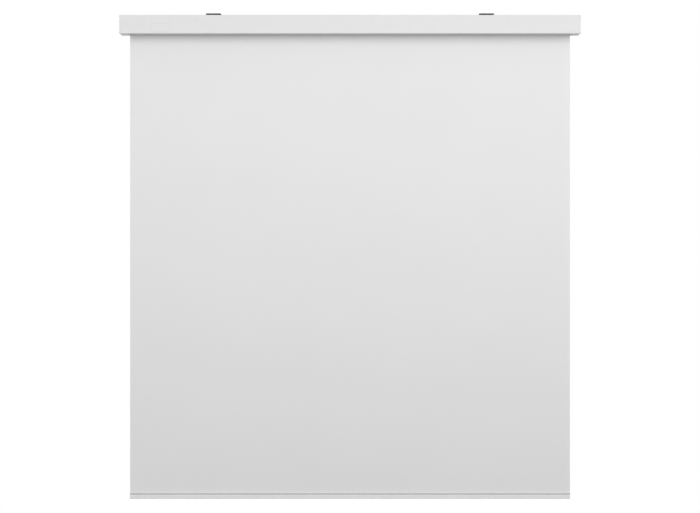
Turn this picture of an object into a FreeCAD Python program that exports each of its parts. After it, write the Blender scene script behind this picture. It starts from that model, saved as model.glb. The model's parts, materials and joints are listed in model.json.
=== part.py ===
import FreeCAD, Part
import math
import os

import Sketcher

# Motorized projection screen, hung from two sliding ceiling brackets, fabric lowered.
# Millimetres. The origin is on the ceiling, midway between the brackets.
# +X runs along the casing to the viewer's right, +Y to the back and +Z up.

SIZES = [
    # screen fabric
    ("fabric_width", 2000, "width of the fabric"),
    ("fabric_thickness", 0.45, "thickness of the fabric"),
    ("fabric_drop", 2107, "casing underside to bottom of the weight bar"),
    ("fabric_margin", 8, "bare roller beyond each edge of the fabric"),
    ("wrap_layers", 2, "turns of fabric left on the roller"),
    # casing
    ("case_depth", 86, "front to back of the casing"),
    ("case_height", 83, "height of the casing"),
    ("case_wall", 2, "wall of the casing extrusions"),
    ("case_corner", 1, "outer corner radius of the casing"),
    ("slot_room", 24, "front lip of the slot to the fabric"),
    ("front_lip_height", 6, "height of the slot's front lip"),
    ("rear_lip_depth", 3.5, "depth of the slot's rear lip"),
    ("rear_lip_height", 3, "height of the slot's rear lip"),
    ("cover_flange", 7, "length of the cover's flange under the top wall"),
    ("cover_rib", 2, "thickness of the rib that stops the cover's flange"),
    ("cover_rib_height", 4, "height of that rib"),
    ("groove_offset", 19, "middle of a bracket groove from the casing's middle"),
    ("groove_opening", 4, "mouth of a bracket groove"),
    ("groove_width", 9, "inner width of a bracket groove"),
    ("groove_depth", 4, "inner height of a bracket groove"),
    ("groove_wall", 1.8, "wall around a bracket groove"),
    ("port_radius", 3.2, "outer radius of a screw port"),
    ("port_inset", 2.6, "axis of a screw port from the walls that carry it"),
    ("port_hole", 2, "radius of the hole in a screw port"),
    ("port_height", 30, "lower rear screw port above the underside"),
    # end caps and the plates behind them
    ("cap_thickness", 4, "thickness of an end cap"),
    ("cap_edge", 0.8, "bevel of an end cap's outer edge"),
    ("cap_seam", 0.5, "bevel of an end cap's inner edge, seen as a seam"),
    ("cap_rib_length", 8, "reach of an end cap's locating ribs into the casing"),
    ("cap_rib_thickness", 2, "thickness of a locating rib"),
    ("cap_rib_height", 25, "height of a locating rib"),
    ("cap_rib_drop", 18, "top of a locating rib below the casing's top"),
    ("tongue_thickness", 2, "thickness of the tongue that closes the slot's end"),
    ("tongue_rise", 1, "that tongue above the casing's underside"),
    ("tongue_room", 4, "that tongue to the edge of the fabric"),
    ("seat_depth", 4, "depth of the ribs that carry an inner plate"),
    ("seat_height", 6, "height of the ribs that carry an inner plate"),
    ("plate_width", 38, "width of the motor and idler plates"),
    ("plate_height", 65, "height of the motor and idler plates"),
    ("plate_thickness", 3, "thickness of the motor and idler plates"),
    ("plate_corner", 6, "corner bevel of the plates"),
    ("gland_inset", 12, "axis of the cable gland from the casing's back"),
    ("gland_drop", 25, "axis of the cable gland below the casing's top"),
    ("gland_bore", 3.5, "bore radius of the cable gland"),
    ("gland_wall", 3, "wall of the cable gland"),
    # roller and its drive
    ("roller_offset", 2, "roller axis behind the casing's middle"),
    ("roller_drop", 41.5, "roller axis below the casing's top"),
    ("roller_wall", 1.5, "wall of the roller tube"),
    ("spline_radius", 1.95, "radius of the spline that holds the fabric"),
    ("spline_gap", 0.15, "room around the spline in its groove"),
    ("lobe_wall", 1.1, "wall around the spline groove"),
    ("slit_width", 1.6, "mouth of the spline groove"),
    ("end_play", 4.7, "gap between the motor head and the roller"),
    ("crown_length", 20, "crown ring inside the roller"),
    ("plug_length", 28, "idler plug inside the roller"),
    ("pin_radius", 6, "radius of the idler pin"),
    ("pin_inside", 33, "idler pin inside the end of the roller"),
    ("bush_wall", 3, "wall of the idler bush"),
    ("bush_tail", 3, "idler bush beyond each face of its plate"),
    ("motor_diameter", 35, "diameter of the motor sleeve"),
    ("motor_wall", 1.2, "wall of the motor sleeve"),
    ("motor_length", 420, "length of the motor sleeve"),
    ("motor_room", 1, "motor sleeve to the roller's spline groove"),
    ("head_inset", 3, "motor head inside the roller's outline"),
    ("head_length", 16, "length of the motor head"),
    ("lead_notch", 8, "notch in the motor head for its lead"),
    ("stud_width", 10, "square stud of the motor head"),
    ("stud_end", 3.5, "stud beyond the back of its plate"),
    ("limit_across", 12, "limit screw from the roller axis, across"),
    ("limit_down", 10, "limit screw below the roller axis"),
    ("limit_radius", 3, "radius of a limit screw"),
    ("limit_length", 7, "length of a limit screw"),
    ("limit_hex", 1.6, "hexagon socket of a limit screw, centre to flat"),
    ("limit_hex_depth", 3, "depth of that socket"),
    ("tool_hole", 3, "radius of the end cap's limit screw holes"),
    ("tool_hole_room", 1, "extra radius of the motor plate's limit screw holes"),
    ("limit_unit_length", 110, "length of the limit switch unit"),
    ("gearbox_length", 120, "length of the gearbox"),
    ("shaft_radius", 5, "round neck of the output shaft"),
    ("shaft_depth", 14, "output shaft inside the gearbox"),
    ("shaft_neck", 6, "round neck outside the gearbox"),
    ("shaft_width", 9, "square of the output shaft"),
    ("shaft_end", 4, "output shaft beyond the drive wheel"),
    ("wheel_width", 22, "width of the drive wheel"),
    # weight bar
    ("bar_height", 17, "height of the bar's body"),
    ("bar_depth", 18, "depth of the bar's body"),
    ("bar_wall", 2, "wall of the bar's body"),
    ("bar_round", 2.5, "lower edge radius of the bar"),
    ("bar_edge", 1.2, "upper edge radius of the bar"),
    ("neck_height", 9, "height of the bar's neck"),
    ("lip_depth", 15, "depth of the lip on top of the bar's neck"),
    ("lip_height", 1.5, "upright edge of that lip"),
    ("waist_depth", 7, "depth of the neck where it meets the body"),
    ("bar_slit", 1.2, "slit for the fabric in the bar's neck"),
    ("hem_radius", 2, "radius of the rod in the fabric's hem"),
    ("hem_depth", 5, "axis of the hem rod below the bar's top"),
    ("ballast_radius", 6, "radius of the ballast rod"),
    ("ballast_inset", 18, "end of the ballast rod from the bar's end"),
    ("bar_cap", 2, "thickness of a bar end cap"),
    ("bar_plug", 12, "plug of a bar end cap"),
    # ceiling brackets
    ("bracket_spacing", 1233, "distance between the ceiling brackets"),
    ("bracket_width", 67, "width of a bracket"),
    ("bracket_depth", 80, "depth of a bracket"),
    ("bracket_thickness", 2.5, "thickness of a bracket's plate"),
    ("bracket_corner", 4, "corner bevel of a bracket's plate"),
    ("hook_thickness", 3, "thickness of the hooks"),
    ("hook_toe", 2.2, "reach of a hook's toe"),
    ("hook_toe_height", 3, "height of a hook's toe"),
    ("jaw_thickness", 2, "thickness of the jaw under the plate"),
    ("jaw_reach", 9.5, "jaw behind its hook"),
    ("case_gap", 2.5, "jaw to the casing's top"),
    ("ceiling_hole", 3.25, "radius of the ceiling screw holes"),
    ("ceiling_hole_spacing", 22, "distance between a bracket's ceiling screw holes"),
    # clearances
    ("fit_gap", 0.05, "room between pieces that are fixed to each other"),
    ("bearing_gap", 0.1, "radial room in a turning fit"),
    ("slide_gap", 0.3, "room between pieces that move beside each other"),
]

doc = FreeCAD.newDocument("ProjectionScreen")
sheet = doc.addObject("Spreadsheet::Sheet", "Sizes")


class Size:
    """A length that carries its value now and the sheet formula that gives it."""

    def __init__(self, value, formula):
        self.value = value
        self.formula = formula

    def __add__(self, other):
        other = size_of(other)
        return Size(self.value + other.value, f"({self.formula} + {other.formula})")

    def __sub__(self, other):
        other = size_of(other)
        return Size(self.value - other.value, f"({self.formula} - {other.formula})")

    def __mul__(self, factor):
        factor = size_of(factor)
        return Size(self.value * factor.value, f"({self.formula} * {factor.formula})")

    def __truediv__(self, divisor):
        return Size(self.value / divisor, f"({self.formula} / {divisor})")

    def __neg__(self):
        return Size(-self.value, f"(0 - {self.formula})")

    def __rmul__(self, factor):
        return self * factor


def size_of(number):
    """A plain number as a Size."""
    return number if isinstance(number, Size) else Size(float(number), f"({float(number)})")


class Sheet:
    """The driving sizes, by name, read back from the sheet."""


size = Sheet()
for row, (alias, value, meaning) in enumerate(SIZES, start=1):
    sheet.set(f"A{row}", meaning)
    sheet.set(f"B{row}", str(value))
    sheet.setAlias(f"B{row}", alias)
doc.recompute()
for alias, value, meaning in SIZES:
    setattr(size, alias, Size(float(getattr(sheet, alias)), f"Sizes.{alias}"))

ORIGIN = (-1, 1)
SKETCH_AXIS = {"DistanceX": -2, "DistanceY": -1}
SKETCH_POINT = {"start": 1, "end": 2, "centre": 3}
NEAR = 1e-4
HEX_SIDES = 6


def pin_point(sketch, edge, name, across, up):
    """Fix a point of a sketch by its two distances from the sketch's origin."""
    point = SKETCH_POINT[name]
    for kind, place in (("DistanceX", across), ("DistanceY", up)):
        if not isinstance(place, Size):
            sketch.addConstraint(Sketcher.Constraint("PointOnObject", edge, point, SKETCH_AXIS[kind]))
            continue
        index = sketch.addConstraint(Sketcher.Constraint(kind, *ORIGIN, edge, point, place.value))
        sketch.setExpression(f"Constraints[{index}]", place.formula)


class Ring:
    """A circle in a sketch. A centre on an axis is given there as a plain 0."""

    def __init__(self, across, up, radius):
        self.across, self.up, self.radius = across, up, radius

    def draw(self, sketch):
        centre = FreeCAD.Vector(size_of(self.across).value, size_of(self.up).value, 0)
        circle = Part.Circle(centre, FreeCAD.Vector(0, 0, 1), self.radius.value)
        edge = sketch.addGeometry(circle)
        pin_point(sketch, edge, "centre", self.across, self.up)
        index = sketch.addConstraint(Sketcher.Constraint("Radius", edge, self.radius.value))
        sketch.setExpression(f"Constraints[{index}]", self.radius.formula)


class Loop:
    """A closed outline of straight lines in a sketch."""

    def __init__(self, *points):
        self.points = points

    def draw(self, sketch):
        corners = [FreeCAD.Vector(size_of(a).value, size_of(b).value, 0) for a, b in self.points]
        ends = corners[1:] + corners[:1]
        edges = [sketch.addGeometry(Part.LineSegment(a, b)) for a, b in zip(corners, ends)]
        start, end = SKETCH_POINT["start"], SKETCH_POINT["end"]
        for before, edge in zip(edges[-1:] + edges[:-1], edges):
            sketch.addConstraint(Sketcher.Constraint("Coincident", before, end, edge, start))
        for edge, (across, up) in zip(edges, self.points):
            pin_point(sketch, edge, "start", across, up)


def box_loop(left, right, low, high):
    """A rectangle between four places."""
    return Loop((left, low), (right, low), (right, high), (left, high))


def square_loop(across, up, width):
    """A square around a point."""
    half = width / 2
    across, up = size_of(across), size_of(up)
    return box_loop(across - half, across + half, up - half, up + half)


class Piece:
    """One named piece of the screen, built as a body of features."""

    every = []

    def __init__(self, label, across=0, up=0):
        self.label = label
        self.body = doc.addObject("PartDesign::Body", label)
        self.body.Label = label
        self.planes = {item.Role: item for item in self.body.Origin.OriginFeatures}
        for axis, place in (("y", across), ("z", up)):
            if isinstance(place, Size):
                self.body.setExpression(f"Placement.Base.{axis}", place.formula)
        Piece.every.append(self)

    def sketch(self, loops, plane, offset):
        """A sketch of closed outlines, offset along its plane's normal."""
        sketch = self.body.newObject("Sketcher::SketchObject", f"{self.label}_outline")
        sketch.AttachmentSupport = (self.planes[plane], [""])
        sketch.MapMode = "FlatFace"
        if isinstance(offset, Size):
            sketch.setExpression("AttachmentOffset.Base.z", offset.formula)
        for loop in loops:
            loop.draw(sketch)
        return sketch

    def pad(self, loops, start, end, plane="YZ_Plane"):
        """Material between two places along the plane's normal."""
        start, end = size_of(start), size_of(end)
        feature = self.body.newObject("PartDesign::Pad", f"{self.label}_pad")
        feature.Profile = self.sketch(loops, plane, start)
        backwards = end.value < start.value
        feature.Reversed = backwards
        feature.setExpression("Length", (start - end if backwards else end - start).formula)
        return feature

    def cut(self, loops, start, end, plane="YZ_Plane"):
        """A recess between two places along the plane's normal."""
        start, end = size_of(start), size_of(end)
        feature = self.body.newObject("PartDesign::Pocket", f"{self.label}_cut")
        feature.Profile = self.sketch(loops, plane, start)
        forwards = end.value > start.value
        feature.Reversed = forwards
        feature.setExpression("Length", (end - start if forwards else start - end).formula)
        return feature

    def pierce(self, loops, plane="YZ_Plane"):
        """Holes through the whole piece."""
        feature = self.body.newObject("PartDesign::Pocket", f"{self.label}_hole")
        feature.Profile = self.sketch(loops, plane, 0)
        feature.Type = "ThroughAll"
        feature.Midplane = True
        return feature

    def soften(self, kind, amount, wanted):
        """Fillet or Chamfer on the edges that a test picks."""
        doc.recompute()
        base = self.body.Tip
        names = [f"Edge{i}" for i, edge in enumerate(base.Shape.Edges, start=1) if wanted(edge)]
        if not names:
            raise ValueError(f"{self.label} has no edge to soften")
        feature = self.body.newObject(f"PartDesign::{kind}", f"{self.label}_{kind.lower()}")
        feature.Base = (base, names)
        prop = "Radius" if kind == "Fillet" else "Size"
        feature.setExpression(prop, amount.formula)


def along_x(*places):
    """A test for edges along X at given places (y, z) in the body."""
    places = [(size_of(y).value, size_of(z).value) for y, z in places]

    def wanted(edge):
        ends = [vertex.Point for vertex in edge.Vertexes]
        return len(ends) == 2 and any(
            all(abs(p.y - y) < NEAR and abs(p.z - z) < NEAR for p in ends) for y, z in places
        )

    return wanted


# places that several pieces share
roller_end = size.fabric_width / 2 + size.fabric_margin
plate_face = roller_end + size.end_play + size.head_length
seat_face = plate_face + size.plate_thickness
case_end = seat_face + size.seat_depth
cap_face = case_end + size.cap_thickness

top = -(size.bracket_thickness + size.jaw_thickness + size.case_gap)
under_top = top - size.case_wall
bottom = top - size.case_height
front = -size.case_depth / 2
back = size.case_depth / 2
inside_front = front + size.case_wall
inside_back = back - size.case_wall

motor_radius = size.motor_diameter / 2
groove_radius = size.spline_radius + size.spline_gap
lobe_radius = groove_radius + size.lobe_wall
lobe_centre = motor_radius + size.motor_room + lobe_radius
roller_radius = lobe_centre + lobe_radius + size.spline_gap
roller_bore = roller_radius - size.roller_wall
wrap_radius = roller_radius + size.fit_gap + size.fabric_thickness * size.wrap_layers
axis_y = size.roller_offset
axis_z = top - size.roller_drop

fabric_front = axis_y + wrap_radius + size.slide_gap
fabric_back = fabric_front + size.fabric_thickness
fabric_middle = fabric_front + size.fabric_thickness / 2
slot_front = fabric_front - size.slot_room
slot_back = back - size.rear_lip_depth

bar_bottom = bottom - size.fabric_drop
bar_shoulder = bar_bottom + size.bar_height
bar_top = bar_shoulder + size.neck_height
bar_end = size.fabric_width / 2 - size.bar_cap
hem_z = bar_top - size.hem_depth
hem_room = size.hem_radius + size.slide_gap
fabric_end = hem_z + hem_room

flange_low = under_top - size.case_wall
housing_ports = [
    (inside_back - size.port_inset, under_top - size.port_inset),
    (inside_back - size.port_inset, bottom + size.port_height),
]
cover_ports = [
    (inside_front + size.port_inset, flange_low - size.port_inset),
    (inside_front + size.port_inset, bottom + size.case_wall + size.port_inset),
]
plate_left = axis_y - size.plate_width / 2
plate_right = axis_y + size.plate_width / 2
plate_bottom = axis_z - size.plate_height / 2
plate_top = axis_z + size.plate_height / 2
limit_places = {
    "limit_screw_upper": axis_y - size.limit_across,
    "limit_screw_lower": axis_y + size.limit_across,
}
limit_z = axis_z - size.limit_down
gland_y = back - size.gland_inset
gland_z = top - size.gland_drop
gland_radius = size.gland_bore + size.gland_wall
groove_places = (-size.groove_offset, size.groove_offset)


def rings(places, radius):
    """Circles of one radius at several places."""
    return [Ring(y, z, radius) for y, z in places]


def rear_housing():
    """Top and back of the casing, with the bracket grooves and screw ports."""
    piece = Piece("rear_housing")
    lip_top = bottom + size.rear_lip_height
    outline = Loop(
        (inside_front, top),
        (back, top),
        (back, bottom),
        (slot_back, bottom),
        (slot_back, lip_top),
        (inside_back, lip_top),
        (inside_back, under_top),
        (inside_front, under_top),
    )
    piece.pad([outline], -case_end, case_end)
    rib_front = inside_front + size.cover_flange
    rib = box_loop(rib_front, rib_front + size.cover_rib, under_top - size.cover_rib_height, under_top)
    groove_floor = under_top - size.groove_depth
    half_groove = size.groove_width / 2
    half_block = half_groove + size.groove_wall
    blocks = [
        box_loop(y - half_block, y + half_block, groove_floor - size.groove_wall, under_top)
        for y in groove_places
    ]
    piece.pad([rib] + blocks, -case_end, case_end)
    piece.pad(rings(housing_ports, size.port_radius), -case_end, case_end)
    half_mouth = size.groove_opening / 2
    for half, high in ((half_groove, under_top), (half_mouth, top)):
        piece.pierce([box_loop(y - half, y + half, groove_floor, high) for y in groove_places])
    piece.pierce(rings(housing_ports, size.port_hole))
    corners = along_x((back, top), (back, bottom), (slot_back, bottom), (slot_back, lip_top))
    piece.soften("Fillet", size.case_corner, corners)


def front_cover():
    """Front and underside of the casing, with the lip that the fabric runs past."""
    piece = Piece("front_cover")
    lip_top = bottom + size.front_lip_height
    lip_front = slot_front - size.case_wall
    floor = bottom + size.case_wall
    flange_end = inside_front + size.cover_flange
    outline = Loop(
        (front, top),
        (front, bottom),
        (slot_front, bottom),
        (slot_front, lip_top),
        (lip_front, lip_top),
        (lip_front, floor),
        (inside_front, floor),
        (inside_front, flange_low),
        (flange_end, flange_low),
        (flange_end, under_top),
        (inside_front, under_top),
        (inside_front, top),
    )
    piece.pad([outline], -case_end, case_end)
    piece.pad(rings(cover_ports, size.port_radius), -case_end, case_end)
    piece.pierce(rings(cover_ports, size.port_hole))
    corners = along_x((front, top), (front, bottom), (slot_front, bottom))
    piece.soften("Fillet", size.case_corner, corners)
    lip_round = size.case_wall / 2 - size.fit_gap
    piece.soften("Fillet", lip_round, along_x((slot_front, lip_top), (lip_front, lip_top)))


def end_cap(label, side):
    """A cast end cap: skin, locating ribs, seats of the inner plate and a tongue in the slot's end."""
    piece = Piece(label)
    inner, outer = side * case_end, side * cap_face
    piece.pad([box_loop(front, back, bottom, top)], inner, outer)
    rib_top = top - size.cap_rib_drop
    rib_low = rib_top - size.cap_rib_height
    ribs = [
        box_loop(start, start + size.cap_rib_thickness, rib_low, rib_top)
        for start in (
            inside_front + size.fit_gap,
            inside_back - size.fit_gap - size.cap_rib_thickness,
        )
    ]
    piece.pad(ribs, inner, inner - side * size.cap_rib_length)
    seats = [
        box_loop(plate_left, plate_right, plate_bottom, plate_bottom + size.seat_height),
        box_loop(plate_left, plate_right, plate_top - size.seat_height, plate_top),
    ]
    piece.pad(seats, inner, side * seat_face)
    tongue_low = bottom + size.tongue_rise
    tongue_top = tongue_low + size.tongue_thickness
    tongue = box_loop(slot_front + size.fit_gap, slot_back - size.fit_gap, tongue_low, tongue_top)
    piece.pad([tongue], inner, side * (size.fabric_width / 2 + size.tongue_room))
    if side < 0:
        holes = [Ring(y, limit_z, size.tool_hole) for y in limit_places.values()]
        holes.append(Ring(gland_y, gland_z, gland_radius + size.fit_gap))
        piece.cut(holes, inner, outer)
    corners = along_x((front, top), (front, bottom), (back, top), (back, bottom))
    piece.soften("Fillet", size.case_corner, corners)

    def rim(place):
        def wanted(edge):
            box = edge.BoundBox
            outside = abs(box.YMin - front.value) < NEAR or abs(box.YMax - back.value) < NEAR
            outside = outside or abs(box.ZMax - top.value) < NEAR or abs(box.ZMin - bottom.value) < NEAR
            return outside and box.XLength < NEAR and abs(box.XMin - place.value) < NEAR

        return wanted

    piece.soften("Chamfer", size.cap_edge, rim(outer))
    piece.soften("Chamfer", size.cap_seam, rim(inner))


def side_plate(label, side, holes):
    """A steel plate on the ribs of an end cap, with its holes."""
    piece = Piece(label)
    outline = box_loop(plate_left, plate_right, plate_bottom, plate_top)
    piece.pad([outline], side * plate_face, side * seat_face)
    piece.pierce(holes)
    corners = [(y, z) for y in (plate_left, plate_right) for z in (plate_bottom, plate_top)]
    piece.soften("Chamfer", size.plate_corner, along_x(*corners))


def cable_gland():
    """Rubber bush in the left end cap for the supply lead."""
    piece = Piece("cable_gland", gland_y, gland_z)
    piece.pad([Ring(0, 0, gland_radius), Ring(0, 0, size.gland_bore)], -cap_face, -case_end)


def motor_head():
    """Fixed head of the tubular motor: square stud, limit screw bores and lead notch."""
    piece = Piece("motor_head", axis_y, axis_z)
    radius = roller_radius - size.head_inset
    outer = -plate_face
    piece.pad([Ring(0, 0, radius)], outer, outer + size.head_length)
    stud = -seat_face - size.stud_end
    piece.pad([square_loop(0, 0, size.stud_width)], outer, stud)
    bores = [
        Ring(side * size.limit_across, -size.limit_down, size.limit_radius + size.bearing_gap)
        for side in (-1, 1)
    ]
    piece.cut(bores, outer, outer + size.limit_length + size.slide_gap)
    notch_side = size.lead_notch / 2
    notch = box_loop(radius - size.lead_notch, radius + size.head_inset, -notch_side, notch_side)
    piece.cut([notch], outer, outer + size.lead_notch)


def motor_inside():
    """Sleeve of the tubular motor and the units packed inside it."""
    sleeve_start = -plate_face + size.head_length
    sleeve_end = sleeve_start + size.motor_length
    bore = motor_radius - size.motor_wall
    sleeve = Piece("motor_sleeve", axis_y, axis_z)
    sleeve.pad([Ring(0, 0, motor_radius), Ring(0, 0, bore)], sleeve_start, sleeve_end)

    packed = bore - size.fit_gap
    limit_end = sleeve_start + size.limit_unit_length
    limit_unit = Piece("limit_switch_unit", axis_y, axis_z)
    limit_unit.pad([Ring(0, 0, packed)], sleeve_start, limit_end)
    stator = Piece("motor_stator", axis_y, axis_z)
    gearbox_start = sleeve_end - size.gearbox_length
    stator.pad([Ring(0, 0, packed)], limit_end, gearbox_start)
    gearbox = Piece("motor_gearbox", axis_y, axis_z)
    gearbox.pad([Ring(0, 0, packed)], gearbox_start, sleeve_end)
    shaft_bore = size.shaft_radius + size.bearing_gap
    gearbox.cut([Ring(0, 0, shaft_bore)], sleeve_end, sleeve_end - size.shaft_depth - size.slide_gap)
    return sleeve_end


def roller_tube():
    """Roller tube with the groove that holds the fabric's spline, facing the front."""
    piece = Piece("roller_tube", axis_y, axis_z)
    piece.pad([Ring(0, 0, roller_radius), Ring(0, 0, roller_bore)], -roller_end, roller_end)
    piece.pad([Ring(-lobe_centre, 0, lobe_radius)], -roller_end, roller_end)
    piece.pierce([Ring(-lobe_centre, 0, groove_radius)])
    half_slit = size.slit_width / 2
    piece.pierce([box_loop(-roller_radius - size.roller_wall, -lobe_centre, -half_slit, half_slit)])


def fabric_on_roller():
    """The turns of fabric left on the roller and the spline in its groove."""
    half_width = size.fabric_width / 2
    wrap = Piece("fabric_wrap", axis_y, axis_z)
    wrap.pad([Ring(0, 0, wrap_radius), Ring(0, 0, roller_radius + size.fit_gap)], -half_width, half_width)
    spline = Piece("fabric_spline", axis_y, axis_z)
    spline.pad([Ring(-lobe_centre, 0, size.spline_radius)], -half_width, half_width)


def lobe_notch():
    """Outline of the notch that keys a wheel to the roller's spline groove."""
    return Ring(-lobe_centre, 0, lobe_radius + size.spline_gap)


def crown_ring():
    """Ring that turns with the roller on the motor sleeve and drives the limit switches."""
    piece = Piece("crown_ring", axis_y, axis_z)
    outline = [Ring(0, 0, roller_bore - size.fit_gap), Ring(0, 0, motor_radius + size.bearing_gap)]
    piece.pad(outline, -roller_end, -roller_end + size.crown_length)
    piece.pierce([lobe_notch()])


def drive_end(sleeve_end):
    """Output shaft of the motor and the wheel that turns the roller."""
    neck_end = sleeve_end + size.shaft_neck
    wheel_end = neck_end + size.wheel_width
    shaft = Piece("output_shaft", axis_y, axis_z)
    shaft.pad([Ring(0, 0, size.shaft_radius)], sleeve_end - size.shaft_depth, neck_end)
    shaft.pad([square_loop(0, 0, size.shaft_width)], neck_end, wheel_end + size.shaft_end)

    hole = square_loop(0, 0, size.shaft_width + 2 * size.fit_gap)
    wheel = Piece("drive_wheel", axis_y, axis_z)
    wheel.pad([Ring(0, 0, roller_bore - size.fit_gap), hole], neck_end, wheel_end)
    wheel.pierce([lobe_notch()])


def idler_end():
    """Plug and pin at the roller's free end, and the bush that carries them."""
    plug = Piece("idler_plug", axis_y, axis_z)
    outline = [Ring(0, 0, roller_bore - size.fit_gap), Ring(0, 0, size.pin_radius + size.fit_gap)]
    plug.pad(outline, roller_end - size.plug_length, roller_end)
    plug.pierce([lobe_notch()])

    bush_end = seat_face + size.bush_tail
    pin = Piece("idler_pin", axis_y, axis_z)
    pin.pad([Ring(0, 0, size.pin_radius)], roller_end - size.pin_inside, bush_end)

    bush_bore = size.pin_radius + size.bearing_gap
    bush_outside = bush_bore + size.bush_wall
    bush = Piece("idler_bush", axis_y, axis_z)
    bush.pad([Ring(0, 0, bush_outside), Ring(0, 0, bush_bore)], plate_face - size.bush_tail, bush_end)
    return bush_outside + size.fit_gap


def screen_fabric():
    """The hanging sheet, from the back of the roller into the weight bar."""
    piece = Piece("screen_fabric")
    half_width = size.fabric_width / 2
    piece.pad([box_loop(fabric_front, fabric_back, fabric_end, axis_z)], -half_width, half_width)


def bar_outline():
    """Outline of the weight bar: a body, and a neck that widens upward into a lip."""
    half_bar, half_waist, half_lip = size.bar_depth / 2, size.waist_depth / 2, size.lip_depth / 2
    right = [
        (half_bar, bar_bottom),
        (half_bar, bar_shoulder),
        (half_waist, bar_shoulder),
        (half_lip, bar_top - size.lip_height),
        (half_lip, bar_top),
    ]
    left = [(-half, z) for half, z in reversed(right)]
    return Loop(*[(fabric_middle + half, z) for half, z in right + left])


def round_bar(piece):
    """Edge radii of the weight bar and its end caps."""
    half_bar, half_lip = size.bar_depth / 2, size.lip_depth / 2
    lower = [(fabric_middle + side * half_bar, bar_bottom) for side in (-1, 1)]
    upper = [(fabric_middle + side * half_bar, bar_shoulder) for side in (-1, 1)]
    lips = [(fabric_middle + side * half_lip, bar_top) for side in (-1, 1)]
    piece.soften("Fillet", size.bar_round, along_x(*lower))
    piece.soften("Fillet", size.bar_edge, along_x(*(upper + lips)))


def bar_chamber(gap):
    """Outline of the bar's hollow, less a gap all round."""
    half = size.bar_depth / 2 - size.bar_wall - gap
    low = bar_bottom + size.bar_wall + gap
    high = bar_shoulder - size.bar_wall - gap
    return box_loop(fabric_middle - half, fabric_middle + half, low, high)


def weight_bar():
    """The weight bar, the hem rod that it grips and the ballast inside."""
    bar = Piece("weight_bar")
    bar.pad([bar_outline()], -bar_end, bar_end)
    bar.pierce([bar_chamber(size_of(0))])
    bar.pierce([Ring(fabric_middle, hem_z, hem_room)])
    half_slit = size.bar_slit / 2
    bar.pierce([box_loop(fabric_middle - half_slit, fabric_middle + half_slit, hem_z, bar_top)])
    round_bar(bar)

    hem = Piece("hem_rod")
    hem_end = bar_end - size.fit_gap
    hem.pad([Ring(fabric_middle, hem_z, size.hem_radius)], -hem_end, hem_end)

    ballast = Piece("ballast_rod")
    ballast_z = bar_bottom + size.bar_wall + size.fit_gap + size.ballast_radius
    ballast_end = bar_end - size.ballast_inset
    ballast.pad([Ring(fabric_middle, ballast_z, size.ballast_radius)], -ballast_end, ballast_end)


def bar_cap(label, side):
    """Moulded end cap of the weight bar, with a slit for the fabric's edge."""
    piece = Piece(label)
    inner = side * bar_end
    piece.pad([bar_outline()], inner, side * (bar_end + size.bar_cap))
    half_slit = size.bar_slit / 2
    slit_low = fabric_end - size.slide_gap
    piece.pierce([box_loop(fabric_middle - half_slit, fabric_middle + half_slit, slit_low, bar_top)])
    round_bar(piece)
    piece.pad([bar_chamber(size.fit_gap)], inner, side * (bar_end - size.bar_plug))


hook_top = under_top - size.slide_gap
hook_low = hook_top - size.hook_toe_height
hook_inner = size.groove_offset - size.hook_thickness / 2
hook_outer = size.groove_offset + size.hook_thickness / 2
toe_end = hook_outer + size.hook_toe
plate_low = -size.bracket_thickness
jaw_low = plate_low - size.jaw_thickness
jaw_end = hook_outer + size.jaw_reach


def ceiling_bracket(name, side):
    """A ceiling bracket: plate with its front hook, and the rear jaw bolted under it."""
    middle = side * size.bracket_spacing / 2
    start, end = middle - size.bracket_width / 2, middle + size.bracket_width / 2
    half_depth = size.bracket_depth / 2

    plate = Piece(f"bracket_{name}")
    outline = Loop(
        (-half_depth, plate_low),
        (-hook_outer, plate_low),
        (-hook_outer, hook_top),
        (-toe_end, hook_top),
        (-toe_end, hook_low),
        (-hook_inner, hook_low),
        (-hook_inner, plate_low),
        (half_depth, plate_low),
        (half_depth, 0),
        (-half_depth, 0),
    )
    plate.pad([outline], start, end)
    ceiling_places = [(middle, step * size.ceiling_hole_spacing / 2) for step in (-1, 1)]
    plate.pierce(rings(ceiling_places, size.ceiling_hole), "XY_Plane")

    def corner(edge):
        ends = [vertex.Point for vertex in edge.Vertexes]
        if len(ends) != 2 or abs(ends[0].z - ends[1].z) < NEAR:
            return False
        return all(abs(abs(p.y) - half_depth.value) < NEAR for p in ends)

    plate.soften("Chamfer", size.bracket_corner, corner)

    jaw = Piece(f"bracket_jaw_{name}")
    hook = Loop(
        (hook_inner, plate_low),
        (hook_inner, hook_low),
        (toe_end, hook_low),
        (toe_end, hook_top),
        (hook_outer, hook_top),
        (hook_outer, jaw_low),
        (jaw_end, jaw_low),
        (jaw_end, plate_low),
    )
    jaw.pad([hook], start, end)


def limit_screw(label, place_y):
    """One of the motor's two limit screws, with a hexagon socket."""
    piece = Piece(label, place_y, limit_z)
    outer = -plate_face + size.slide_gap
    piece.pad([Ring(0, 0, size.limit_radius)], outer, outer + size.limit_length - size.slide_gap)
    half_side = math.pi / HEX_SIDES
    reach = size.limit_hex / math.cos(half_side)
    turns = [half_side + 2 * step * half_side for step in range(HEX_SIDES)]
    corners = [(reach * math.cos(angle), reach * math.sin(angle)) for angle in turns]
    piece.cut([Loop(*corners)], outer, outer + size.limit_hex_depth)


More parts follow.
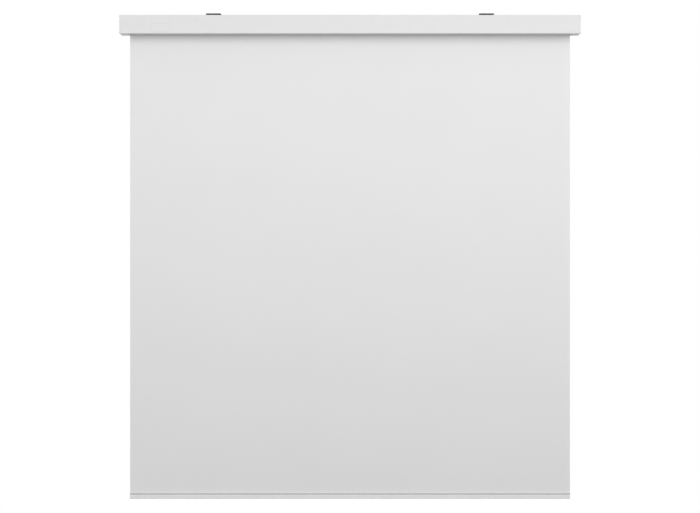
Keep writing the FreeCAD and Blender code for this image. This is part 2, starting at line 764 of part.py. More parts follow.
def build():
    """Every piece of the screen."""
    rear_housing()
    front_cover()
    end_cap("end_cap_left", -1)
    end_cap("end_cap_right", 1)
    cable_gland()
    limit_holes = [
        Ring(y, limit_z, size.tool_hole + size.tool_hole_room) for y in limit_places.values()
    ]
    stud_hole = square_loop(axis_y, axis_z, size.stud_width + 2 * size.fit_gap)
    side_plate("motor_plate", -1, limit_holes + [stud_hole])
    side_plate("idler_plate", 1, [Ring(axis_y, axis_z, idler_end())])
    motor_head()
    drive_end(motor_inside())
    crown_ring()
    roller_tube()
    fabric_on_roller()
    screen_fabric()
    weight_bar()
    bar_cap("bar_cap_left", -1)
    bar_cap("bar_cap_right", 1)
    for name, side in (("left", -1), ("right", 1)):
        ceiling_bracket(name, side)
    for label, place_y in limit_places.items():
        limit_screw(label, place_y)


def write_parts():
    """Check every feature and piece, then write one file for each piece."""
    doc.recompute()
    for item in doc.Objects:
        if "Invalid" in item.State or "Error" in item.State:
            raise RuntimeError(f"{item.Name} failed: {item.State}")
    for piece in Piece.every:
        shape = piece.body.Shape
        if shape.isNull() or not shape.isValid() or not shape.Solids:
            raise RuntimeError(f"{piece.label} has no valid shape")
    os.makedirs("parts", exist_ok=True)
    for piece in Piece.every:
        shape = piece.body.Shape
        shape.exportStep(os.path.join("parts", f"{piece.label}.step"))
        box = shape.BoundBox
        print(
            f"{piece.label:20s} solids {len(shape.Solids):2d}  volume {shape.Volume:12.1f}  "
            f"x {box.XMin:9.2f} {box.XMax:9.2f}  y {box.YMin:7.2f} {box.YMax:7.2f}  "
            f"z {box.ZMin:9.2f} {box.ZMax:9.2f}"
        )


build()
write_parts()
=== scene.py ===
import json
import math

import bmesh
import bpy
from mathutils import Matrix, Vector


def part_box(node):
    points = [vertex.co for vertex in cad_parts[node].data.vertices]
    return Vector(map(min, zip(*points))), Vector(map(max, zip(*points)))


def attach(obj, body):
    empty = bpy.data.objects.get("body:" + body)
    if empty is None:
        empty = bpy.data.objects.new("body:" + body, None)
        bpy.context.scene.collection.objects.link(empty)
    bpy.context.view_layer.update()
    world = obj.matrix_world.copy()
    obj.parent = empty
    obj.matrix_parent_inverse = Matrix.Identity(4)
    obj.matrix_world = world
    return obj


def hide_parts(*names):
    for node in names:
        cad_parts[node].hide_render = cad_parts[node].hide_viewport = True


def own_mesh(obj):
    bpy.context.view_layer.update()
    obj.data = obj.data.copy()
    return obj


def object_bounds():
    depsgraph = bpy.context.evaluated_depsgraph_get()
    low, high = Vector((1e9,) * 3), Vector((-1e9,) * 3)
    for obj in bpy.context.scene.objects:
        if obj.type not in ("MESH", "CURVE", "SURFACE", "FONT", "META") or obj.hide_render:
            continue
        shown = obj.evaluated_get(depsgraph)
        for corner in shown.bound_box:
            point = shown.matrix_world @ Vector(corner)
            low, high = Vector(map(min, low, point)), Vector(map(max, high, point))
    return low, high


# Looks of the motorized projection screen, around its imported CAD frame.
# Metres. +X runs to the viewer's right, +Y to the back and +Z up.

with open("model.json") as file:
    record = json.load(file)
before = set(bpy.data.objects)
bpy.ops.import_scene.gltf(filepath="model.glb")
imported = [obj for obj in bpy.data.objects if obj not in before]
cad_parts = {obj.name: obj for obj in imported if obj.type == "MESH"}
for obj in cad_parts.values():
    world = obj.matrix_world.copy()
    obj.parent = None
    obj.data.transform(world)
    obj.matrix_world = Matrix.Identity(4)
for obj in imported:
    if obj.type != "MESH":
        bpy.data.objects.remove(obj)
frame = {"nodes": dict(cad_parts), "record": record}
nodes = frame["nodes"]
cad_low, cad_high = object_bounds()
MM = 0.001

# Camera, with its focal length in pixels of the image
IMAGE_WIDTH = 700
SENSOR_WIDTH = 36.0
FOCAL_PIXELS = 1760
CAMERA_DISTANCE = 7.933
CAMERA_HEIGHT = -1.0962
CAMERA_REACH = 100

# Light: a sky that grows along its tilt, and two wide lamps in front of the screen
SKY_LEVEL = 0.645
SKY_TILT = (0, 0.3, 0.14)
LAMP_AIM = Vector((-0.2, 0.0, -0.06))
LAMP_WIDTH = 14.0
KEY_PLACE = Vector((0.5, -3.75, 0.81))
KEY_HEIGHT = 2.6
KEY_POWER = 170
FILL_PLACE = Vector((0.3, -3.75, -0.3))
FILL_HEIGHT = 0.7
FILL_POWER = 53

# Floor: its tone is what the camera sees, its bounce is what lights the object
FLOOR_DROP = 0.5
FLOOR_RADIUS = 3.0
FLOOR_FADE = 1.0
FLOOR_SIDES = 96
FLOOR_TONE = 0.88
FLOOR_BOUNCE = 0.36
FLOOR_SPREAD = 0.01
FLOOR_GRAIN = 60
FLOOR_ROUGHNESS = 0.85
FLOOR_SHINE = 0.1

# Surfaces
SMOOTH_ANGLE = math.radians(30)
EVEN = (1, 1, 1)
RAMP_START = 0.3
RAMP_END = 0.7
PLAIN_DETAIL = 2.0
FINE_DETAIL = 3.0
CLOUD_SHARE = 1 / 40
GLOSS_SPREAD = 0.04
BUMP_STRENGTH = 0.6
# Painted shade at the top of the weight bar and its caps: the share of colour left above the neck
# height stands for the shade at the bar's neck
NECK_HEIGHT = 8.8 * MM
NECK_PAINTED_SHADE = 0.83

# Weave
THREAD = 0.8 * MM
THREAD_WANDER = 0.4
THREAD_DETAIL = 0.5
WAVE_LENGTH = math.pi / 10  # of the wave texture at a scale of 1
FABRIC_CLOUDS = 3.0
FABRIC_DETAIL = 4.0
FABRIC_SPREAD = 0.006
FABRIC_SHINE = 0.2
FABRIC_SHEEN = 0.05

# Sheets: the hanging fabric and the turns on the roller
SHEET_COLUMNS = 40
SHEET_ROWS = 48
BACK_SHARE = 0.1
WRAP_TURNS = 1.5
WRAP_FIT = 0.05 * MM
WRAP_FILL = 0.95
WRAP_STEPS = 108

# Bare plate on the casing's front
PLATE_LEFT = -0.898
PLATE_RIGHT = -0.8103
PLATE_LOW = -0.083
PLATE_HIGH = -0.0441
PLATE_CORNER = 3 * MM
PLATE_RIM = 2 * MM
PLATE_RIM_THICKNESS = 0.25 * MM
PLATE_THICKNESS = 0.5 * MM
PLATE_BEVEL = 0.12 * MM

# Places and heads of the screws
CAP_SCREW_BACK = 38.4 * MM
CAP_SCREW_FRONT = -38.4 * MM
CAP_SCREW_BACK_HEIGHTS = (-11.6 * MM, -60.0 * MM)
CAP_SCREW_FRONT_HEIGHTS = (-13.6 * MM, -85.4 * MM)
CAP_SCREW_RADIUS = 3.4 * MM
CAP_SCREW_HEIGHT = 1.6 * MM
PLATE_SCREW_STEP = 10 * MM
PLATE_SCREW_INSET = 3 * MM
PLATE_SCREW_RADIUS = 2.6 * MM
PLATE_SCREW_HEIGHT = 1.5 * MM
STOP_SCREW_INSET = 4 * MM
STOP_SCREW_RADIUS = 2.2 * MM
STOP_SCREW_HEIGHT = 1.8 * MM
JAW_THICKNESS = 2 * MM
JAW_SCREW_STEP = 20 * MM
JAW_SCREW_DEPTH = 25 * MM
JAW_SCREW_RADIUS = 3.2 * MM
JAW_SCREW_HEIGHT = 1.6 * MM

# Clips on the square stud and the square shaft of the motor
STUD_WIDTH = 10 * MM
SHAFT_WIDTH = 9 * MM
CLIP_THICKNESS = 1.2 * MM
CLIP_LEG = 3 * MM
CLIP_BRIDGE = 4 * MM
CLIP_CORNER = 3 * MM
CLIP_TIP = 1.5 * MM
CLIP_LEAD = 1 * MM

# Steps of round forms
CORNER_STEPS = 6
SCREW_SIDES = 24

# A pan head and its recess, as shares of the head's radius and height
HEAD_PROFILE = ((1.0, 0.0), (1.0, 0.45), (0.95, 0.72), (0.84, 0.9), (0.68, 1.0))
MOUTH_REACH = 0.56
MOUTH_WIDTH = 0.26
PIT_REACH = 0.36
PIT_WIDTH = 0.16
PIT_LEVEL = 0.35


# Materials

def new_material(name):
    """An empty node material with a Principled shader."""
    material = bpy.data.materials.new(name)
    material.use_nodes = True
    tree = material.node_tree
    tree.nodes.clear()
    shader = tree.nodes.new("ShaderNodeBsdfPrincipled")
    output = tree.nodes.new("ShaderNodeOutputMaterial")
    tree.links.new(shader.outputs["BSDF"], output.inputs["Surface"])
    return material, tree, shader


def grey(tone):
    """A colour without hue."""
    return (tone, tone, tone)


def object_place(tree, stretch=EVEN):
    """Places on the object in metres, stretched for grain that runs one way."""
    place = tree.nodes.new("ShaderNodeTexCoord")
    mapping = tree.nodes.new("ShaderNodeMapping")
    mapping.inputs["Scale"].default_value = stretch
    tree.links.new(place.outputs["Object"], mapping.inputs["Vector"])
    return mapping.outputs["Vector"]


def noise(tree, place, scale, detail=PLAIN_DETAIL):
    """A noise texture of so many grains to the metre."""
    texture = tree.nodes.new("ShaderNodeTexNoise")
    texture.inputs["Scale"].default_value = scale
    texture.inputs["Detail"].default_value = detail
    tree.links.new(place, texture.inputs["Vector"])
    return texture.outputs["Fac"]


def shades(tree, factor, low, high):
    """A ramp between two colours or two greys."""
    ramp = tree.nodes.new("ShaderNodeValToRGB")
    first, last = ramp.color_ramp.elements
    first.position = RAMP_START
    first.color = (*low, 1)
    last.position = RAMP_END
    last.color = (*high, 1)
    tree.links.new(factor, ramp.inputs["Fac"])
    return ramp.outputs["Color"]


def calculate(tree, operation, first, second, clamp=False):
    """A maths node on a socket and either a second socket or a number."""
    node = tree.nodes.new("ShaderNodeMath")
    node.operation = operation
    node.use_clamp = clamp
    tree.links.new(first, node.inputs[0])
    if isinstance(second, (int, float)):
        node.inputs[1].default_value = second
    else:
        tree.links.new(second, node.inputs[1])
    return node.outputs["Value"]


def bump(tree, shader, height, depth):
    """Relief of a given depth in metres."""
    node = tree.nodes.new("ShaderNodeBump")
    node.inputs["Strength"].default_value = BUMP_STRENGTH
    node.inputs["Distance"].default_value = depth
    tree.links.new(height, node.inputs["Height"])
    tree.links.new(node.outputs["Normal"], shader.inputs["Normal"])


def uneven_gloss(tree, shader, factor, roughness):
    """A roughness that varies a little over the surface."""
    low = grey(roughness - GLOSS_SPREAD)
    high = grey(roughness + GLOSS_SPREAD)
    tree.links.new(shades(tree, factor, low, high), shader.inputs["Roughness"])


def spread(colour, share):
    """A colour made darker and lighter by a share."""
    return [[max(0.0, min(1.0, c * (1 + s * share))) for c in colour] for s in (-1, 1)]


def painted_shade_above(tree, tone, height, share):
    """Painted shade: the same colour, of which only a share is left above a height on the object."""
    place = tree.nodes.new("ShaderNodeTexCoord")
    split = tree.nodes.new("ShaderNodeSeparateXYZ")
    tree.links.new(place.outputs["Object"], split.inputs["Vector"])
    above = calculate(tree, "GREATER_THAN", split.outputs["Z"], height)
    mix = tree.nodes.new("ShaderNodeMixRGB")
    mix.blend_type = "MULTIPLY"
    mix.inputs["Color2"].default_value = (*grey(share), 1)
    tree.links.new(above, mix.inputs["Fac"])
    tree.links.new(tone, mix.inputs["Color1"])
    return mix.outputs["Color"]


def coated(
    name, colour, roughness, grain, relief,
    metal=0.0, variation=0.015, stretch=EVEN, shine=0.5, painted_neck_shade=None,
):
    """Paint, plastic or metal: two near shades, a varied gloss and a fine relief.

    Grain counts to the metre, relief is in metres, and the last argument is a painted shade: a height,
    and the share of the colour left above it.
    """
    material, tree, shader = new_material(name)
    shader.inputs["Metallic"].default_value = metal
    shader.inputs["Specular IOR Level"].default_value = shine
    place = object_place(tree, stretch)
    cloud = noise(tree, place, grain * CLOUD_SHARE)
    tone = shades(tree, cloud, *spread(colour, variation))
    # Painted shade: the colour is made darker above a height on the object
    if painted_neck_shade:
        tone = painted_shade_above(tree, tone, *painted_neck_shade)
    tree.links.new(tone, shader.inputs["Base Color"])
    fine = noise(tree, place, grain, FINE_DETAIL)
    uneven_gloss(tree, shader, fine, roughness)
    bump(tree, shader, fine, relief)
    return material


def woven(name, colour, roughness, relief, depth):
    """Plain weave: two crossed sets of threads, over a faint unevenness of colour.

    Relief is in metres, and depth is how much darker the gaps between the threads are.
    """
    material, tree, shader = new_material(name)
    shader.inputs["Specular IOR Level"].default_value = FABRIC_SHINE
    shader.inputs["Sheen Weight"].default_value = FABRIC_SHEEN
    place = object_place(tree)
    crossed = []
    for direction in ("X", "Z"):
        wave = tree.nodes.new("ShaderNodeTexWave")
        wave.bands_direction = direction
        wave.inputs["Scale"].default_value = WAVE_LENGTH / THREAD
        wave.inputs["Distortion"].default_value = THREAD_WANDER
        wave.inputs["Detail Scale"].default_value = THREAD_DETAIL
        tree.links.new(place, wave.inputs["Vector"])
        crossed.append(wave.outputs["Fac"])
    weave = calculate(tree, "MULTIPLY", *crossed)
    cloud = noise(tree, place, FABRIC_CLOUDS, FABRIC_DETAIL)
    threads = tree.nodes.new("ShaderNodeMixRGB")
    threads.blend_type = "MULTIPLY"
    threads.inputs["Fac"].default_value = depth
    tree.links.new(shades(tree, cloud, *spread(colour, FABRIC_SPREAD)), threads.inputs["Color1"])
    tree.links.new(weave, threads.inputs["Color2"])
    tree.links.new(threads.outputs["Color"], shader.inputs["Base Color"])
    uneven_gloss(tree, shader, noise(tree, place, 1 / THREAD), roughness)
    bump(tree, shader, weave, relief)
    return material


# Finishes by material slot
CASING_WHITE = grey(0.738)
BAR_WHITE = grey(0.812)
# Painted shade on the weight bar and its caps, above the neck height
BAR_NECK_PAINTED_SHADE = (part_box("weight_bar")[1].z - NECK_HEIGHT, NECK_PAINTED_SHADE)
materials = {
    "casing_white": coated(
        "casing_paint", CASING_WHITE, roughness=0.55, grain=1300, relief=0.06 * MM,
        variation=0.008, shine=0.25,
    ),
    "cap_white": coated(
        "cap_paint", CASING_WHITE, roughness=0.58, grain=1500, relief=0.08 * MM, shine=0.25,
    ),
    "bar_white": coated(
        "bar_paint", BAR_WHITE, roughness=0.5, grain=1300, relief=0.05 * MM, painted_neck_shade=BAR_NECK_PAINTED_SHADE,
    ),
    "bar_cap_white": coated(
        "bar_cap_plastic", BAR_WHITE, roughness=0.55, grain=1800, relief=0.08 * MM, painted_neck_shade=BAR_NECK_PAINTED_SHADE,
    ),
    "bracket_black": coated(
        "bracket_paint", grey(0.012), roughness=0.7, grain=1300, relief=0.15 * MM,
        variation=0.2, shine=0.12,
    ),
    "roller_metal": coated(
        "roller_metal", (0.78, 0.78, 0.79), roughness=0.35, grain=900, relief=0.01 * MM,
        metal=1.0, variation=0.04, stretch=(0.02, 1, 1),
    ),
    "rod_steel": coated(
        "rod_steel", (0.55, 0.55, 0.56), roughness=0.35, grain=900, relief=0.01 * MM,
        metal=1.0, variation=0.06, stretch=(0.05, 1, 1),
    ),
    "motor_paint": coated(
        "motor_zinc", (0.62, 0.63, 0.64), roughness=0.36, grain=900, relief=0.01 * MM,
        metal=1.0, variation=0.05, stretch=(0.1, 1, 1),
    ),
    "plate_zinc": coated(
        "plate_zinc", (0.66, 0.67, 0.69), roughness=0.38, grain=700, relief=0.02 * MM,
        metal=1.0, variation=0.06,
    ),
    "screw_zinc": coated(
        "screw_zinc", (0.52, 0.52, 0.53), roughness=0.34, grain=2500, relief=0.01 * MM,
        metal=1.0, variation=0.08,
    ),
    "moulded_black": coated(
        "moulded_black", grey(0.03), roughness=0.5, grain=1800, relief=0.08 * MM, variation=0.15,
    ),
    "moulded_grey": coated(
        "moulded_grey", (0.25, 0.26, 0.27), roughness=0.5, grain=2000, relief=0.04 * MM,
        variation=0.08,
    ),
    "bush_natural": coated(
        "bush_acetal", (0.80, 0.79, 0.74), roughness=0.35, grain=2000, relief=0.02 * MM,
        variation=0.03,
    ),
    "gland_rubber": coated(
        "gland_rubber", grey(0.025), roughness=0.7, grain=2200, relief=0.1 * MM, variation=0.2,
    ),
}

# Finishes that only the new pieces have
fabric_front = woven("fabric_front", grey(0.815), roughness=0.9, relief=0.06 * MM, depth=0.025)
fabric_back = woven(
    "fabric_back", (0.025, 0.025, 0.026), roughness=0.8, relief=0.1 * MM, depth=0.3,
)
plate_finish = coated(
    "plate_finish", grey(0.73), roughness=0.4, grain=1200, relief=0.01 * MM,
    variation=0.01, stretch=(0.1, 1, 1), shine=0.25,
)
# The rim of the bare plate is a real step; its darker tone is painted shade along that step
plate_rim_painted_shade = coated(
    "plate_rim_painted_shade", (0.675, 0.675, 0.68), roughness=0.45, grain=1200, relief=0.01 * MM,
    variation=0.02, shine=0.25,
)
# Painted shade for the cross recesses of the screws: a dark finish where the recess lies in shade
recess_painted_shade = coated(
    "recess_painted_shade", grey(0.12), roughness=0.6, grain=2500, relief=0.01 * MM, metal=0.6, variation=0.1,
)


def paint_nodes():
    """Every rigid CAD node in the finish of its material slot."""
    for row in frame["record"]["subparts"]:
        slot = row["material_slot"]
        if slot in materials:
            mesh = nodes[row["node"]].data
            mesh.materials.clear()
            mesh.materials.append(materials[slot])


# Pieces

def soften(mesh):
    """Smooth shading that stops at the sharp edges."""
    mesh.shade_smooth()
    mesh.set_sharp_from_angle(angle=SMOOTH_ANGLE)


def mesh_piece(name, shape, body, slot, *finishes):
    """A new piece from a bmesh, riding on a CAD body."""
    bmesh.ops.recalc_face_normals(shape, faces=shape.faces)
    if shape.calc_volume(signed=True) < 0:
        bmesh.ops.reverse_faces(shape, faces=shape.faces)
    mesh = bpy.data.meshes.new(name)
    shape.to_mesh(mesh)
    shape.free()
    for finish in finishes:
        mesh.materials.append(finish)
    piece = bpy.data.objects.new(name, mesh)
    bpy.context.scene.collection.objects.link(piece)
    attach(piece, body)
    return piece


def band(shape, rows):
    """Faces that join rows of points in order."""
    made = [[shape.verts.new(point) for point in row] for row in rows]
    for low, high in zip(made, made[1:]):
        for i in range(len(low) - 1):
            shape.faces.new((low[i], low[i + 1], high[i + 1], high[i]))
    return made


def closed_band(shape, low, high):
    """Faces between two closed rings of as many points."""
    for i in range(len(low)):
        j = (i + 1) % len(low)
        shape.faces.new((low[i], low[j], high[j], high[i]))


def hanging_fabric():
    """The screen: a thin flat sheet, white to the front and black to the back."""
    low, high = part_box("screen_fabric")
    columns = [low.x + (high.x - low.x) * c / SHEET_COLUMNS for c in range(SHEET_COLUMNS + 1)]
    shape = bmesh.new()
    sides = []
    for y in (low.y, high.y):
        rows = []
        for r in range(SHEET_ROWS + 1):
            z = high.z + (low.z - high.z) * r / SHEET_ROWS
            rows.append([(x, y, z) for x in columns])
        sides.append(band(shape, rows))
    front, back = sides
    rims = [
        (front[0], back[0]),
        (front[-1], back[-1]),
        ([row[0] for row in front], [row[0] for row in back]),
        ([row[-1] for row in front], [row[-1] for row in back]),
    ]
    for near, far in rims:
        for i in range(len(near) - 1):
            shape.faces.new((near[i], near[i + 1], far[i + 1], far[i]))
    back_face = high.y - BACK_SHARE * (high.y - low.y)
    for face in shape.faces:
        face.material_index = int(face.calc_center_median().y > back_face)
    sheet = mesh_piece("hanging_fabric", shape, "case", "fabric_white", fabric_front, fabric_back)
    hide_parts("screen_fabric")
    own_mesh(sheet)


def wound_fabric():
    """The last turns on the roller: one spiral sheet from the groove out to the hanging sheet."""
    low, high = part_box("fabric_wrap")
    tube_low, tube_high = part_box("roller_tube")
    centre = (low + high) / 2
    outer = (high.z - low.z) / 2
    inner = (tube_high.z - tube_low.z) / 2 + WRAP_FIT
    pitch = (outer - inner) / (WRAP_TURNS + 1)
    spirals = []
    for lift in (0.0, WRAP_FILL * pitch):
        points = []
        for step in range(WRAP_STEPS + 1):
            turn = WRAP_TURNS * step / WRAP_STEPS
            radius = inner + pitch * turn + lift
            angle = 2 * math.pi * (WRAP_TURNS - turn)
            points.append((centre.y + radius * math.cos(angle), centre.z + radius * math.sin(angle)))
        spirals.append(points)
    outline = spirals[0] + spirals[1][::-1]
    count = len(outline)
    shape = bmesh.new()
    ends = [[shape.verts.new((x, y, z)) for y, z in outline] for x in (low.x, high.x)]
    closed_band(shape, *ends)
    for end in ends:
        for i in range(WRAP_STEPS):
            shape.faces.new((end[i], end[i + 1], end[count - 2 - i], end[count - 1 - i]))
    roll = mesh_piece("wound_fabric", shape, "roller", "fabric_white", fabric_back)
    soften(roll.data)
    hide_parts("fabric_wrap")


def round_corner(across, up, radius, quarter):
    """Points round one quarter of a circle about a centre."""
    points = []
    for step in range(CORNER_STEPS + 1):
        angle = (quarter + step / CORNER_STEPS) * math.pi / 2
        points.append((across + radius * math.cos(angle), up + radius * math.sin(angle)))
    return points


def rounded_rectangle(left, right, low, high, corner):
    """Points round a rectangle with round corners."""
    centres = [
        (right - corner, high - corner),
        (left + corner, high - corner),
        (left + corner, low + corner),
        (right - corner, low + corner),
    ]
    points = []
    for quarter, (across, up) in enumerate(centres):
        points += round_corner(across, up, corner, quarter)
    return points


def bare_plate():
    """A small bare plate on the front of the casing: a thin rim round a raised field, the rim in a
    darker tone that is painted shade along the plate's edge.
    """
    cover_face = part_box("front_cover")[0].y
    rim_face = cover_face - PLATE_RIM_THICKNESS
    field_face = cover_face - PLATE_THICKNESS
    steps = [
        (cover_face, 0),
        (rim_face, 0),
        (rim_face, PLATE_RIM),
        (field_face + PLATE_BEVEL, PLATE_RIM),
        (field_face, PLATE_RIM + PLATE_BEVEL),
    ]
    shape = bmesh.new()
    rings = []
    for y, inset in steps:
        left, right = PLATE_LEFT + inset, PLATE_RIGHT - inset
        low, high = PLATE_LOW + inset, PLATE_HIGH - inset
        outline = rounded_rectangle(left, right, low, high, PLATE_CORNER - inset)
        rings.append([shape.verts.new((x, y, z)) for x, z in outline])
    for near, far in zip(rings, rings[1:]):
        closed_band(shape, near, far)
    shape.faces.new(rings[0])
    field = shape.faces.new(rings[-1])
    for face in shape.faces:
        face.material_index = 1
    for edge in field.edges:
        for face in edge.link_faces:
            face.material_index = 0
    mesh_piece("bare_plate", shape, "case", "casing_white", plate_finish, plate_rim_painted_shade)


def cross_outline(reach, width, height):
    """Points round a cross, at one height."""
    arm = [(reach, -width / 2), (reach, width / 2), (width / 2, width / 2)]
    points = []
    for quarter in range(4):
        turn = Matrix.Rotation(quarter * math.pi / 2, 3, "Z")
        points += [turn @ Vector((x, y, height)) for x, y in arm]
    return points


def cross_screw(name, place, outward, radius, height, body):
    """A pan head screw with a cross recess, seated at a place and facing outward."""
    shape = bmesh.new()
    angles = [2 * math.pi * i / SCREW_SIDES for i in range(SCREW_SIDES)]
    rings = []
    for wide, high in HEAD_PROFILE:
        reach = wide * radius
        points = [(reach * math.cos(angle), reach * math.sin(angle), high * height) for angle in angles]
        rings.append([shape.verts.new(point) for point in points])
    for low, high in zip(rings, rings[1:]):
        closed_band(shape, low, high)
    shape.faces.new(rings[0])
    for face in shape.faces:
        face.smooth = len(face.verts) == 4
    mouth_points = cross_outline(MOUTH_REACH * radius, MOUTH_WIDTH * radius, height)
    pit_points = cross_outline(PIT_REACH * radius, PIT_WIDTH * radius, PIT_LEVEL * height)
    mouth = [shape.verts.new(point) for point in mouth_points]
    pit = [shape.verts.new(point) for point in pit_points]
    rim = [shape.edges.new((mouth[i - 1], mouth[i])) for i in range(len(mouth))]
    rim += [shape.edges.get((rings[-1][i - 1], rings[-1][i])) for i in range(SCREW_SIDES)]
    bmesh.ops.triangle_fill(shape, edges=rim, use_beauty=True, use_dissolve=False)
    bright = set(shape.faces)
    closed_band(shape, mouth, pit)
    shape.faces.new(pit)
    # The recess faces take the painted shade
    for face in set(shape.faces) - bright:
        face.material_index = 1
    turn = Vector(outward).to_track_quat("Z", "Y").to_matrix().to_4x4()
    shape.transform(Matrix.Translation(place) @ turn)
    mesh_piece(name, shape, body, "screw_zinc", materials["screw_zinc"], recess_painted_shade)


def cap_screws(side, direction):
    """Four screws through an end cap into the ports of the casing."""
    low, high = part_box(f"end_cap_{side}")
    face = low.x if direction < 0 else high.x
    places = [(face, CAP_SCREW_BACK, z) for z in CAP_SCREW_BACK_HEIGHTS]
    places += [(face, CAP_SCREW_FRONT, z) for z in CAP_SCREW_FRONT_HEIGHTS]
    for number, place in enumerate(places, start=1):
        name = f"cap_screw_{side}_{number}"
        cross_screw(name, place, (direction, 0, 0), CAP_SCREW_RADIUS, CAP_SCREW_HEIGHT, "case")


def plate_screws(side, direction):
    """Four screws that hold an inner plate to the seats of its end cap."""
    low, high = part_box("motor_plate" if direction < 0 else "idler_plate")
    face = high.x if direction < 0 else low.x
    middle = (low.y + high.y) / 2
    heights = (low.z + PLATE_SCREW_INSET, high.z - PLATE_SCREW_INSET)
    steps = (-PLATE_SCREW_STEP, PLATE_SCREW_STEP)
    places = [(face, middle + step, z) for z in heights for step in steps]
    for number, place in enumerate(places, start=1):
        name = f"plate_screw_{side}_{number}"
        cross_screw(name, place, (-direction, 0, 0), PLATE_SCREW_RADIUS, PLATE_SCREW_HEIGHT, "case")


def bracket_screws(side):
    """The stop screw of a ceiling bracket and the two screws that hold its jaw."""
    body = f"bracket_{side}"
    low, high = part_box(body)
    middle = (low.x + high.x) / 2
    under_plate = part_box(f"bracket_jaw_{side}")[1].z
    stop = (middle, low.y + STOP_SCREW_INSET, under_plate)
    cross_screw(f"stop_screw_{side}", stop, (0, 0, -1), STOP_SCREW_RADIUS, STOP_SCREW_HEIGHT, body)
    under_jaw = under_plate - JAW_THICKNESS
    for number, step in enumerate((-JAW_SCREW_STEP, JAW_SCREW_STEP), start=1):
        place = (middle + step, JAW_SCREW_DEPTH, under_jaw)
        name = f"jaw_screw_{side}_{number}"
        cross_screw(name, place, (0, 0, -1), JAW_SCREW_RADIUS, JAW_SCREW_HEIGHT, body)


def spring_clip(name, face, direction, width, body):
    """A flat clip pushed down over a square shaft, against the part that it keeps in place."""
    low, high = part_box("motor_sleeve")
    axis = (low + high) / 2
    half = width / 2
    rim = half + CLIP_LEG
    top = half + CLIP_BRIDGE
    tip = -half - CLIP_TIP
    right = [(half, half), (half, tip + CLIP_LEAD), (half + CLIP_LEAD, tip), (rim, tip)]
    right += round_corner(rim - CLIP_CORNER, top - CLIP_CORNER, CLIP_CORNER, 0)
    outline = right + [(-y, z) for y, z in reversed(right)]
    shape = bmesh.new()
    ends = []
    for x in (face, face + direction * CLIP_THICKNESS):
        ends.append([shape.verts.new((x, axis.y + y, axis.z + z)) for y, z in outline])
    closed_band(shape, *ends)
    for end in ends:
        shape.faces.new(end)
    mesh_piece(name, shape, body, "screw_zinc", materials["screw_zinc"])


paint_nodes()
hanging_fabric()
wound_fabric()
bare_plate()
spring_clip("stud_clip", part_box("motor_plate")[0].x, -1, STUD_WIDTH, "case")
spring_clip("wheel_clip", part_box("drive_wheel")[1].x, 1, SHAFT_WIDTH, "roller")
for side, direction in (("left", -1), ("right", 1)):
    cap_screws(side, direction)
    plate_screws(side, direction)
    bracket_screws(side)
for node in nodes.values():
    soften(node.data)


# Floor, light and camera

def white_light(tree, strength=None):
    """A white background, of strength 1 or of the strength that a socket gives."""
    background = tree.nodes.new("ShaderNodeBackground")
    background.inputs["Color"].default_value = (1, 1, 1, 1)
    if strength is not None:
        tree.links.new(strength, background.inputs["Strength"])
    return background.outputs["Background"]


def world_light():
    """White behind the object and in its reflections, and a softer light on it.

    That light is stronger from the back and above.
    """
    world = bpy.data.worlds.new("studio")
    bpy.context.scene.world = world
    world.use_nodes = True
    tree = world.node_tree
    tree.nodes.clear()
    path = tree.nodes.new("ShaderNodeLightPath")
    seen = path.outputs["Is Camera Ray"]
    for other in ("Is Glossy Ray", "Is Transmission Ray"):
        seen = calculate(tree, "MAXIMUM", seen, path.outputs[other])
    direction = tree.nodes.new("ShaderNodeTexCoord")
    tilt = tree.nodes.new("ShaderNodeVectorMath")
    tilt.operation = "DOT_PRODUCT"
    tilt.inputs[1].default_value = SKY_TILT
    tree.links.new(direction.outputs["Generated"], tilt.inputs[0])
    sky = calculate(tree, "ADD", tilt.outputs["Value"], SKY_LEVEL)
    mix = tree.nodes.new("ShaderNodeMixShader")
    tree.links.new(seen, mix.inputs["Fac"])
    tree.links.new(white_light(tree, sky), mix.inputs[1])
    tree.links.new(white_light(tree), mix.inputs[2])
    output = tree.nodes.new("ShaderNodeOutputWorld")
    tree.links.new(mix.outputs["Shader"], output.inputs["Surface"])


def soft_lamp(name, place, height, power):
    """A wide soft lamp in front of the screen, aimed at its top."""
    light = bpy.data.lights.new(name, "AREA")
    light.shape = "RECTANGLE"
    light.size = LAMP_WIDTH
    light.size_y = height
    light.energy = power
    lamp = bpy.data.objects.new(name, light)
    lamp.location = place
    lamp.rotation_euler = (LAMP_AIM - place).to_track_quat("-Z", "Y").to_euler()
    lamp.visible_camera = False
    bpy.context.scene.collection.objects.link(lamp)


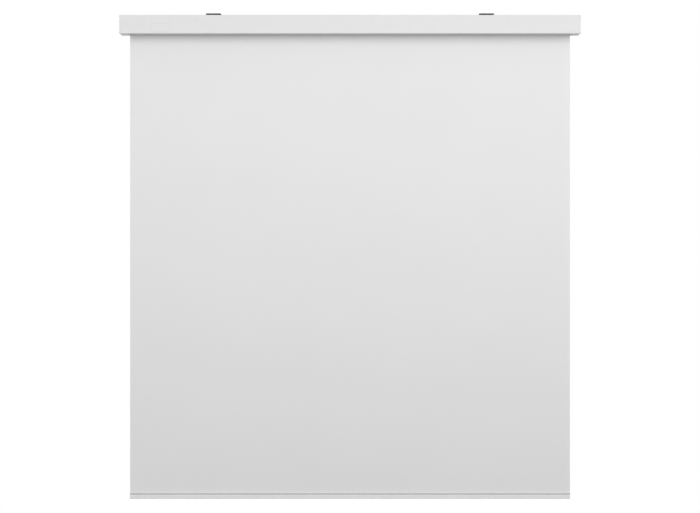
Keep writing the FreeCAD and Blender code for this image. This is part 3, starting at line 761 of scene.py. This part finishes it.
def floor_paint():
    """Pale paint, darker in the light it sends back, clear at the rim and from below."""
    material, tree, shader = new_material("floor_paint")
    shader.inputs["Roughness"].default_value = FLOOR_ROUGHNESS
    shader.inputs["Specular IOR Level"].default_value = FLOOR_SHINE
    place = object_place(tree)
    grain = noise(tree, place, FLOOR_GRAIN)
    path = tree.nodes.new("ShaderNodeLightPath")
    mix = tree.nodes.new("ShaderNodeMixRGB")
    tree.links.new(path.outputs["Is Camera Ray"], mix.inputs["Fac"])
    for socket, tone in (("Color1", FLOOR_BOUNCE), ("Color2", FLOOR_TONE)):
        tree.links.new(shades(tree, grain, *spread(grey(tone), FLOOR_SPREAD)), mix.inputs[socket])
    tree.links.new(mix.outputs["Color"], shader.inputs["Base Color"])
    away = tree.nodes.new("ShaderNodeVectorMath")
    away.operation = "LENGTH"
    tree.links.new(place, away.inputs[0])
    fade = tree.nodes.new("ShaderNodeMapRange")
    fade.interpolation_type = "SMOOTHSTEP"
    fade.inputs["From Min"].default_value = FLOOR_FADE
    fade.inputs["From Max"].default_value = FLOOR_RADIUS
    fade.inputs["To Min"].default_value = 1
    fade.inputs["To Max"].default_value = 0
    tree.links.new(away.outputs["Value"], fade.inputs["Value"])
    below = tree.nodes.new("ShaderNodeNewGeometry").outputs["Backfacing"]
    shown = calculate(tree, "SUBTRACT", fade.outputs["Result"], below, clamp=True)
    tree.links.new(shown, shader.inputs["Alpha"])
    return material


def floor():
    """A pale round floor under the screen."""
    shape = bmesh.new()
    bmesh.ops.create_circle(shape, cap_ends=True, segments=FLOOR_SIDES, radius=FLOOR_RADIUS)
    mesh = bpy.data.meshes.new("floor")
    shape.to_mesh(mesh)
    shape.free()
    mesh.materials.append(floor_paint())
    ground = bpy.data.objects.new("floor", mesh)
    ground.location = (0, 0, cad_low.z - FLOOR_DROP)
    bpy.context.scene.collection.objects.link(ground)


def camera():
    """The camera, square to the front of the screen."""
    lens = bpy.data.cameras.new("camera")
    lens.sensor_width = SENSOR_WIDTH
    lens.lens = FOCAL_PIXELS * SENSOR_WIDTH / IMAGE_WIDTH
    lens.clip_end = CAMERA_REACH
    viewer = bpy.data.objects.new("camera", lens)
    viewer.location = (0, cad_low.y - CAMERA_DISTANCE, CAMERA_HEIGHT)
    viewer.rotation_euler = (math.pi / 2, 0, 0)
    bpy.context.scene.collection.objects.link(viewer)
    bpy.context.scene.camera = viewer


world_light()
soft_lamp("key", KEY_PLACE, KEY_HEIGHT, KEY_POWER)
soft_lamp("fill", FILL_PLACE, FILL_HEIGHT, FILL_POWER)
floor()
camera()
bpy.context.scene.view_settings.view_transform = "Standard"
